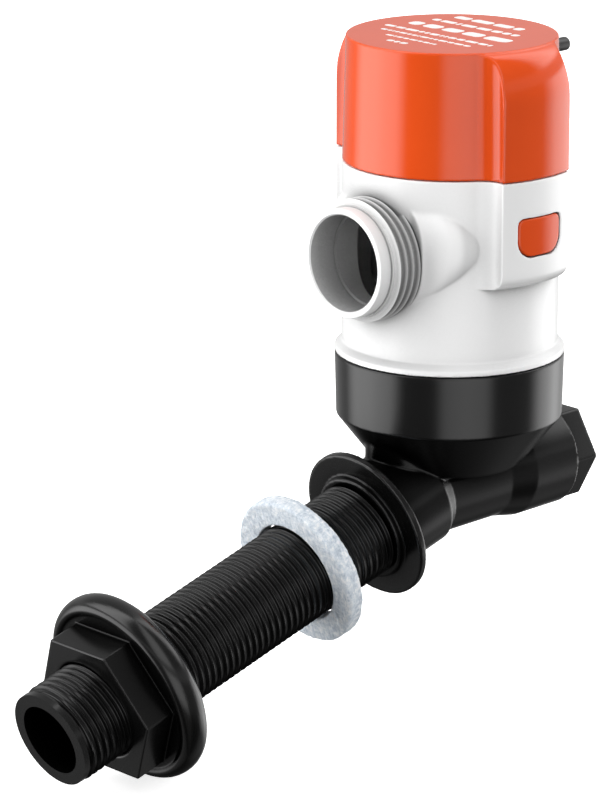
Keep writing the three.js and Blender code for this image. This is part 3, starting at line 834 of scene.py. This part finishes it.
def housing_shell():
    """The wall with its bosses and neck, hollowed for the chamber, the pockets and the windows."""
    wall = turned([
        (0, JOIN_HEIGHT), (RIM_R, JOIN_HEIGHT, 0.2), (RIM_R, 38.1, 0.15), (BODY_R + 0.1, 39.8, 0.15),
        (BODY_R, 40.1, 0.1), (BODY_R, PARTING_HEIGHT, 0.25), (0, PARTING_HEIGHT)])
    foot = arc((BOSS_R - BOSS_FOOT_ROUND, BOSS_FOOT + BOSS_FOOT_ROUND),
               (BOSS_FOOT_ROUND + 0.1, BOSS_FOOT_ROUND), -90, 0, 6)
    envelope = turned([(0, BOSS_FOOT)] + foot + [(BOSS_R + 0.1, PARTING_HEIGHT), (0, PARTING_HEIGHT)])

    def bosses(points):
        return soft_max(boss_plan(points, BODY_R), envelope(points), 0.25)

    chamber = turned([
        (0, JOIN_HEIGHT - 1), (SKIRT_R, JOIN_HEIGHT - 1), (SKIRT_R, 39.3), (26.6, 39.3), (26.6, 40.9),
        (CHAMBER_R, 40.9), (CHAMBER_R, PARTING_HEIGHT + 1), (0, PARTING_HEIGHT + 1)])
    outside = joined(0.25, joined(0, wall, bosses), neck)
    return cut(0.3, outside, chamber, joined(0.1, pocket(POCKET_LOW, PARTING_HEIGHT + 1), window))


def outlet_crest(along):
    """The outlet's thread has the same size all along."""
    return np.full(along.shape, OUTLET_CREST_R)


def outlet_spout():
    """The threaded outlet as a solid rod, with a plain lip at its mouth."""
    lip = [(OUTLET_LIP_R - 0.1, 35.0), (OUTLET_LIP_R - 0.1, 35.3), (OUTLET_LIP_R, 35.4),
           (OUTLET_LIP_R, OUTLET_END - 0.4), (OUTLET_LIP_R - 0.12, OUTLET_END - 0.12),
           (OUTLET_LIP_R - 0.4, OUTLET_END), (0, OUTLET_END)]
    root = [(0, 20), (OUTLET_ROOT_R, 20), (OUTLET_ROOT_R, OUTLET_THREAD_START)]
    thread = (OUTLET_THREAD_START, OUTLET_THREAD_END, OUTLET_ROOT_R, outlet_crest, OUTLET_PITCH)
    return threaded(root, thread, lip, OUTLET, 160)


def outlet_bore():
    """The outlet's bore, with a step inside and a chamfer at its mouth."""
    return spun([
        (0, 15), (12.3, 15), (12.3, 29.6), (OUTLET_BORE_R, 30.0), (OUTLET_BORE_R, OUTLET_END - 0.4),
        (OUTLET_BORE_R + 0.5, OUTLET_END + 0.1), (OUTLET_BORE_R + 0.5, 41), (0, 41)], OUTLET, 160)


def pump_housing():
    """The shell with its threaded outlet, which is cleared from the chamber and bored."""
    points, quads = carved(housing_shell(), (-31, -35, 36), (32, 35, 89), 0.4)
    housing = new_object("housing_moulding", points, quads)
    combine(housing, new_object("spout", *outlet_spout()), "UNION")
    inside = spun([(0, 45), (CHAMBER_R - 0.05, 45), (CHAMBER_R - 0.05, 85), (0, 85)])
    combine(housing, new_object("chamber", *inside), "DIFFERENCE")
    combine(housing, new_object("bore", *outlet_bore()), "DIFFERENCE")
    return finished(housing, "housing", "white_plastic", "pump_housing", crease=40)


# ------------------------------------------------------------------ orange cap, tabs and print

CAP_EDGE = 0.4
CAP_R = BODY_R - 0.05
CAP_BOSS_CENTRE = (26.2, 106)


def cap_shell():
    """A cup with a slight draft, whose two bosses round over into its flat top."""
    shell = turned([
        (0, CAP_FOOT), (CAP_R, CAP_FOOT, 0.25), (CAP_SHOULDER_R, CAP_TOP, CAP_EDGE), (0, CAP_TOP)])
    shoulder = arc(CAP_BOSS_CENTRE, (BOSS_R - 26.1, CAP_TOP - CAP_BOSS_CENTRE[1]), 0, 90, 24)
    envelope = turned([(0, CAP_FOOT), (BOSS_R + 0.1, CAP_FOOT)] + shoulder + [(0, CAP_TOP)])

    def bosses(points):
        share = np.clip((points[:, 2] - CAP_FOOT) / (CAP_TOP - CAP_FOOT), 0, 1)
        wall_radius = CAP_R - share * (BODY_R - CAP_SHOULDER_R)
        return soft_max(boss_plan(points, wall_radius), envelope(points), 0.25)

    hollow = turned([(0, CAP_FOOT - 1), (25.5, CAP_FOOT - 1), (25.5, 118.5, 1.5), (0, 118.5)])
    cable_hole = rod(3.4, 20, 34, CABLE)
    return cut(0.2, joined(0, shell, bosses), hollow, pocket(CAP_FOOT - 1, POCKET_HIGH), cable_hole)


def cartridge_cap():
    cap = new_object("cap_moulding", *carved(cap_shell(), (-30, -35, 87), (30, 35, 122.3), 0.4))
    return finished(cap, "cartridge", "orange_plastic", "cartridge_cap")


def release_tab(side):
    """A sprung finger hangs from the cap inside a boss, and its D-shaped head fills the window."""
    middle, half_height = (FINGER_LOW + FINGER_HIGH) / 2, (FINGER_HIGH - FINGER_LOW) / 2

    def shape(points):
        y = side * points[:, 1]
        across = np.abs(points[:, 0]) - FINGER_HALF_WIDTH
        strip = np.maximum(across, np.abs(y - FINGER_R) - FINGER_HALF_THICKNESS)
        strip = soft_max(strip, np.abs(points[:, 2] - middle) - half_height, 0.3)
        reach = np.hypot(points[:, 0], points[:, 1]) - BOSS_R + 0.1
        head = soft_max(soft_max(tab_outline(points, 0), reach, 0.5), FINGER_R - y, 0.2)
        return soft_min(strip, head, 0.3)

    low_y, high_y = sorted((side * (FINGER_R - 1.4), side * (BOSS_R + 0.6)))
    name = "tab_left" if side > 0 else "tab_right"
    mesh = carved(shape, (-9, low_y, FINGER_LOW - 0.8), (9, high_y, FINGER_HIGH + 0.7), 0.25)
    tab = new_object(name + "_moulding", *mesh)
    return finished(tab, name, "orange_plastic", "release_" + name)


# Rows of plain printed bars on the cap's top: (place along X, from Y, to Y, height of the row).
PRINT_ROWS = [
    (16.9, 15.8, -10.3, 3.0), (10.2, 17.5, -15.3, 2.2), (3.0, 18.5, -18.3, 4.0), (-4.4, 20.5, -19.1, 1.7),
    (-9.0, 17.2, -15.8, 1.3), (-13.6, 10.5, -8.0, 1.2), (-18.4, 4.9, -2.2, 1.8)]
INK_DEPTH = 0.2
INK_THICKNESS = 0.03


def bar_outline(x, start, end, height):
    """A bar with rounded ends, as points on the cap's top."""
    radius = min(height, start - end) / 2 * 0.7
    inner, outer = x - height / 2 + radius, x + height / 2 - radius
    corners = [(inner, end + radius, 180), (outer, end + radius, 270),
               (outer, start - radius, 0), (inner, start - radius, 90)]
    return [(u + radius * math.cos(math.radians(a)), v + radius * math.sin(math.radians(a)))
            for u, v, first in corners for a in range(first, first + 91, 30)]


def prism(outline, bottom, top, first):
    """Points and faces of an upright prism. Its points are numbered from first."""
    count = len(outline)
    points = [(x, y, bottom) for x, y in outline] + [(x, y, top) for x, y in outline]
    ring = first + np.arange(count)
    faces = [ring[::-1].tolist(), (ring + count).tolist()]
    for here, after in zip(ring.tolist(), np.roll(ring, -1).tolist()):
        faces.append([here, after, after + count, here + count])
    return points, faces


def cap_print():
    """Plain bars in place of lettering."""
    random = np.random.default_rng(7)
    points, faces = [], []
    for x, start, end, height in PRINT_ROWS:
        y = start
        while y - 0.6 * height > end:
            width = min(height * random.uniform(0.5, 2.6), y - end)
            outline = bar_outline(x, y, y - width, height)
            bar = prism(outline, CAP_TOP - INK_DEPTH, CAP_TOP + INK_THICKNESS, len(points))
            points += bar[0]
            faces += bar[1]
            y -= width + height * 0.34
    ink = new_object("cap_print", np.array(points), faces)
    ink.data.materials.append(INK_FINISH)
    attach(ink, "cartridge")
    return ink


# ------------------------------------------------------------------ nut, felt, cable, plug

def hull_nut():
    """A hexagon on a round flange with a swollen rim. It is carved upright, then laid on the shank."""
    root = NUT_BACK - 7.7
    rim = arc((23.5, NUT_BACK - 4.3), (2.65, 3.9), -120.6, 60, 14)
    flange = turned([(0, root)] + rim + [(23.7, NUT_BACK), (0, NUT_BACK)])
    hexagonal = hexagon(NUT_HEX_R, NUT_FRONT, root + 1, UPRIGHT, 0.2)
    bore = turned([
        (0, NUT_FRONT - 1), (NUT_BORE_R + 0.3, NUT_FRONT - 1), (NUT_BORE_R + 0.3, NUT_FRONT),
        (NUT_BORE_R, NUT_FRONT + 0.3), (NUT_BORE_R, NUT_BACK - 0.9), (NUT_BORE_R + 0.9, NUT_BACK),
        (NUT_BORE_R + 0.9, NUT_BACK + 1), (0, NUT_BACK + 1)])
    shape = cut(0.15, joined(0.15, flange, hexagonal), bore)
    lowest, highest = (-26.8, -26.8, NUT_FRONT - 0.6), (26.8, 26.8, NUT_BACK + 0.6)
    points, quads = carved(shape, lowest, highest, 0.36)
    nut = new_object("nut_moulding", SHANK.outward(points), quads)
    return finished(nut, "nut", "black_plastic", "hull_nut")


def value_noise(points, scale, seed):
    """Smooth seeded noise between -1 and 1."""
    random = np.random.default_rng(seed)
    table = random.uniform(-1, 1, 4096)
    scaled = points / scale
    cell = np.floor(scaled).astype(int)
    part = scaled - cell
    part = part * part * (3 - 2 * part)
    total = 0
    for corner in CORNERS:
        c = cell + corner
        value = table[(c[:, 0] * 73 + c[:, 1] * 179 + c[:, 2] * 283) % 4096]
        weight = np.prod(np.where(corner, part, 1 - part), axis=1)
        total = total + weight * value
    return total


def felt_swell(points):
    """How far the felt's surface stands out: slow waves, then clumps, then single fibres."""
    return (0.16 * value_noise(points, 4.0, 1) + 0.10 * value_noise(points * (1, 1.8, 1), 1.3, 2)
            + 0.07 * value_noise(points, 0.6, 3))


def felt_washer():
    """A pressed felt ring: soft edges, slightly uneven faces and a matted surface."""
    shape = turned([(FELT_IN_R, FELT_FRONT, 0.5), (FELT_OUT_R, FELT_FRONT, 0.9),
                    (FELT_OUT_R, FELT_BACK, 0.9), (FELT_IN_R, FELT_BACK, 0.5)])
    lowest, highest = (-21.6, -21.6, FELT_FRONT - 0.9), (21.6, 21.6, FELT_BACK + 0.9)
    points, quads = carved(shape, lowest, highest, 0.3)
    radial = np.hypot(points[:, 0], points[:, 1])
    share = 1 - (FELT_IN_R + FELT_OUT_R) / 2 / radial
    height = points[:, 2] - (FELT_FRONT + FELT_BACK) / 2
    direction = np.stack([points[:, 0] * share, points[:, 1] * share, height * 1.3], 1)
    direction /= np.maximum(np.linalg.norm(direction, axis=1), 1e-6)[:, None]
    inner = np.clip((radial - FELT_IN_R) / 1.5, 0, 1)
    points = points + direction * (felt_swell(points) * (0.25 + 0.75 * inner))[:, None]
    ring = new_object("felt_ring", SHANK.outward(points), quads)
    return finished(ring, "washer", "felt", "felt_washer")


def motor_well():
    """The sealed cup round the motor, with a groove for the cartridge's O-ring."""
    outline = [
        (6, 55, 0.3), (19, 55, 1.5), (21, 57, 1.5), (21, 80, 2), (25.1, 82.5, 0.8), (25.1, 84.2, 0.2),
        (23.2, 84.2), (23.2, 86.6), (25.1, 86.6, 0.2), (25.1, 96, 0.4), (22.6, 96), (22.6, 88, 1),
        (18.6, 84, 1), (18.6, 58.2), (6, 58.2)]
    well = new_object("well_moulding", *spun(outline))
    finished(well, "cartridge", "black_plastic", "motor_well", crease=40)
    well.data.materials[0] = WELL_FINISH


def turned_pieces():
    """Small pieces that are round about one axis."""
    shaft_bore = 1.74
    sleeve_bore = CABLE_R + 0.35
    rows = [
        ("cable_stub", "power_cable", "cartridge", "cable_sheath", CABLE,
         [(0, 20), (CABLE_R, 20, 0.2), (CABLE_R, CABLE_END, 0.7), (0, CABLE_END)]),
        ("cable_sleeve", "cable_gland", "cartridge", "seal_rubber", CABLE,
         [(sleeve_bore, 22.8), (4.6, 22.8, 0.3), (4.6, 24.8, 0.3), (3.1, 24.8), (3.1, 28.6, 0.3),
          (sleeve_bore, 28.6)]),
        ("can_drawing", "motor_can", "cartridge", "plated_steel", UPRIGHT,
         [(3, 58.6), (18.2, 58.6, 1.2), (18.2, 108, 0.2), (17.3, 108, 0.2), (17.3, 59.8, 0.6),
          (3, 59.8, 0.3)]),
        ("bell_moulding", "end_bell", "cartridge", "nylon", UPRIGHT,
         [(4.9, 104.5), (17, 104.5, 0.3), (17, 107.5, 0.4), (4.9, 107.5, 0.3)]),
        ("upper_bush", "upper_bearing", "cartridge", "bronze", UPRIGHT,
         [(shaft_bore, 104.5, 0.2), (4.6, 104.5, 0.3), (4.6, 107.5, 0.3), (shaft_bore, 107.5, 0.2)]),
        ("lower_bush", "lower_bearing", "cartridge", "bronze", UPRIGHT,
         [(shaft_bore, 60.1, 0.2), (5, 60.1, 0.3), (5, 63.1, 0.3), (shaft_bore, 63.1, 0.2)]),
        ("lip_seal", "shaft_seal", "cartridge", "seal_rubber", UPRIGHT,
         [(shaft_bore, 55.2, 0.2), (5.7, 55.2, 0.3), (5.7, 58, 0.3), (3.2, 58, 0.3), (2.4, 56.4, 0.3),
          (shaft_bore, 57.4, 0.1)]),
        ("shaft_ground", "motor_shaft", "rotor", "shaft_steel", UPRIGHT,
         [(0, 46.2), (1.59, 46.2, 0.3), (1.59, 108.2, 0.3), (0, 108.2)]),
        ("plug_gasket", "plug_seal", "plug", "seal_rubber", PORT,
         [(7.2, 29.3, 0.3), (10.2, 29.3, 0.3), (10.2, 30.8, 0.3), (7.2, 30.8, 0.3)]),
    ]
    for name, node_name, body, slot, place, outline in rows:
        finished(new_object(name, *spun(outline, place)), body, slot, node_name, crease=40)


def port_plug():
    """The second port's plug, with a hexagonal socket for a key."""
    body = turned([(0, 31.2), (9.6, 31.2, 0.3), (10.2, 31.9, 0.3), (10.2, 42.2, 0.5), (0, 42.2)])
    shape = cut(0.15, body, hexagon(5, 35, PORT_END + 1, UPRIGHT, 0.15))
    points, quads = carved(shape, (-10.8, -10.8, 30.6), (10.8, 10.8, 42.8), 0.3)
    plug = new_object("plug_moulding", PORT.outward(points), quads)
    return finished(plug, "plug", "black_plastic", "port_plug")


def ring_seal(name, node_name, body, middle, thickness, height):
    """An O-ring about the motor's axis."""
    outline = [(middle + thickness * math.cos(a), height + thickness * math.sin(a))
               for a in np.linspace(0, 2 * math.pi, 17)[:-1]]
    finished(new_object(name, *spun(outline)), body, "seal_rubber", node_name)


intake_base()
pump_housing()
cartridge_cap()
release_tab(1)
release_tab(-1)
cap_print()
hull_nut()
felt_washer()
motor_well()
turned_pieces()
port_plug()
ring_seal("base_ring_seal", "base_seal", "base", 24.35, 0.85, 42.3)
ring_seal("cartridge_ring_seal", "cartridge_seal", "cartridge", 24.2, 0.95, 85.4)


# ------------------------------------------------------------------ stage, light and camera

VIEW_AZIMUTH = math.radians(42.32)
VIEW_ELEVATION = math.radians(15.61)
VIEW_DISTANCE = 1.19525
VIEW_LENS = 201.98
TARGET = Vector((-0.0292, 0.0251, 0.0226 + CROSSING * MM))
TO_CAMERA = Vector((-math.sin(VIEW_AZIMUTH), -math.cos(VIEW_AZIMUTH), 0))
TO_RIGHT = Vector((math.cos(VIEW_AZIMUTH), -math.sin(VIEW_AZIMUTH), 0))

# Brightness of the studio round the object: degrees from the camera's side, to the right, and light.
# Three tall soft boxes, left, front and right behind, with darker gaps.
STUDIO_PEAK = 3.2
STUDIO_ROUND = [
    (-180, 0.5), (-128, 0.3), (-112, 2.4), (-90, 3.2), (-62, 2.6), (-50, 0.12), (-16, 0.12), (-6, 1.4),
    (15, 1.7), (36, 1.5), (46, 0.2), (88, 0.2), (104, 2.4), (130, 2.6), (150, 0.8), (180, 0.5)]
# How much more of it matt surfaces get than mirrors.
FILL = 0.2
# Share of it by height, as the sine of the elevation.
STUDIO_UPWARD = [(-1.0, 0.03), (-0.6, 0.1), (-0.35, 1.0), (0.8, 1.0), (1.0, 1.0)]
# Level faces mirror a plain wall in place of the soft boxes: its light, and its share by height.
WALL_LIGHT = 0.5
WALL_UPWARD = [(0.14, 0.0), (0.19, 1.0), (0.34, 1.0), (0.42, 0.0)]


def studio():
    """White to the camera itself, and soft boxes to the light and the reflections on the object."""
    world = bpy.context.scene.world or bpy.data.worlds.new("studio")
    bpy.context.scene.world = world
    world.use_nodes = True
    tree = world.node_tree
    direction = node(tree, "ShaderNodeTexCoord").outputs["Generated"]

    def along(axis):
        made = node(tree, "ShaderNodeVectorMath", operation="DOT_PRODUCT")
        tree.links.new(direction, made.inputs[0])
        made.inputs[1].default_value = axis
        return made.outputs["Value"]

    def value(operation, first, second):
        made = node(tree, "ShaderNodeMath", operation=operation)
        for slot_index, entry in enumerate((first, second)):
            if isinstance(entry, (int, float)):
                made.inputs[slot_index].default_value = entry
            else:
                tree.links.new(entry, made.inputs[slot_index])
        return made.outputs["Value"]

    turn = value("ARCTAN2", along(TO_RIGHT), along(TO_CAMERA))
    turn = value("ADD", value("MULTIPLY", turn, 1 / (2 * math.pi)), 0.5)
    around = ramp(tree, turn, [((a + 180) / 360, light / STUDIO_PEAK) for a, light in STUDIO_ROUND])
    height = value("ADD", value("MULTIPLY", along((0, 0, 1)), 0.5), 0.5)
    upward = ramp(tree, height, [((h + 1) / 2, share) for h, share in STUDIO_UPWARD])
    light = value("MULTIPLY", value("MULTIPLY", around, upward), STUDIO_PEAK)
    path = node(tree, "ShaderNodeLightPath")
    wall = ramp(tree, height, [((h + 1) / 2, share) for h, share in WALL_UPWARD])
    wall = value("MULTIPLY", wall, path.outputs["Is Glossy Ray"])
    light = value("ADD", light, value("MULTIPLY", wall, value("SUBTRACT", WALL_LIGHT, light)))
    fill = value("ADD", value("MULTIPLY", path.outputs["Is Diffuse Ray"], FILL), 1.0)
    light = value("MULTIPLY", light, fill)
    mixed = node(tree, "ShaderNodeMix", {"Factor": path.outputs["Is Camera Ray"], "A": light},
                 data_type="FLOAT")
    mixed.inputs["B"].default_value = 1.0
    tree.links.new(mixed.outputs["Result"], tree.nodes["Background"].inputs["Strength"])
    tree.nodes["Background"].inputs["Color"].default_value = (1, 1, 1, 1)


FLOOR_GLOW = 0.7
FLOOR_HALF_SIZE = 6
FLOOR_GAP = 0.0005


def pale_floor():
    """A pale sweep. Its own glow keeps the object's shadow on it faint."""
    height = min(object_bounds()[0][2], CAD_BOUNDS[0][2]) - FLOOR_GAP
    mesh = bpy.data.meshes.new("floor")
    corners = [(x * FLOOR_HALF_SIZE, y * FLOOR_HALF_SIZE, height)
               for x, y in ((-1, -1), (1, -1), (1, 1), (-1, 1))]
    mesh.from_pydata(corners, [], [(0, 1, 2, 3)])
    floor = bpy.data.objects.new("floor", mesh)
    bpy.context.scene.collection.objects.link(floor)
    material, tree, shader = principled("floor", Roughness=0.9, Specular_IOR_Level=0.1)
    shader.inputs["Base Color"].default_value = (0.94, 0.94, 0.94, 1)
    shader.inputs["Emission Color"].default_value = (1, 1, 1, 1)
    shader.inputs["Emission Strength"].default_value = FLOOR_GLOW
    mesh.materials.append(material)
    floor.visible_glossy = False
    floor.visible_diffuse = False
    floor.visible_shadow = False


def camera():
    """A long lens, from the front left and a little above."""
    data = bpy.data.cameras.new("camera")
    data.lens = VIEW_LENS
    data.sensor_width = 36
    obj = bpy.data.objects.new("camera", data)
    back = math.cos(VIEW_ELEVATION) * TO_CAMERA + Vector((0, 0, math.sin(VIEW_ELEVATION)))
    obj.location = TARGET + VIEW_DISTANCE * back
    obj.rotation_euler = (-back).to_track_quat("-Z", "Y").to_euler()
    bpy.context.scene.collection.objects.link(obj)
    bpy.context.scene.camera = obj


pale_floor()
studio()
camera()
bpy.context.scene.view_settings.view_transform = "Standard"
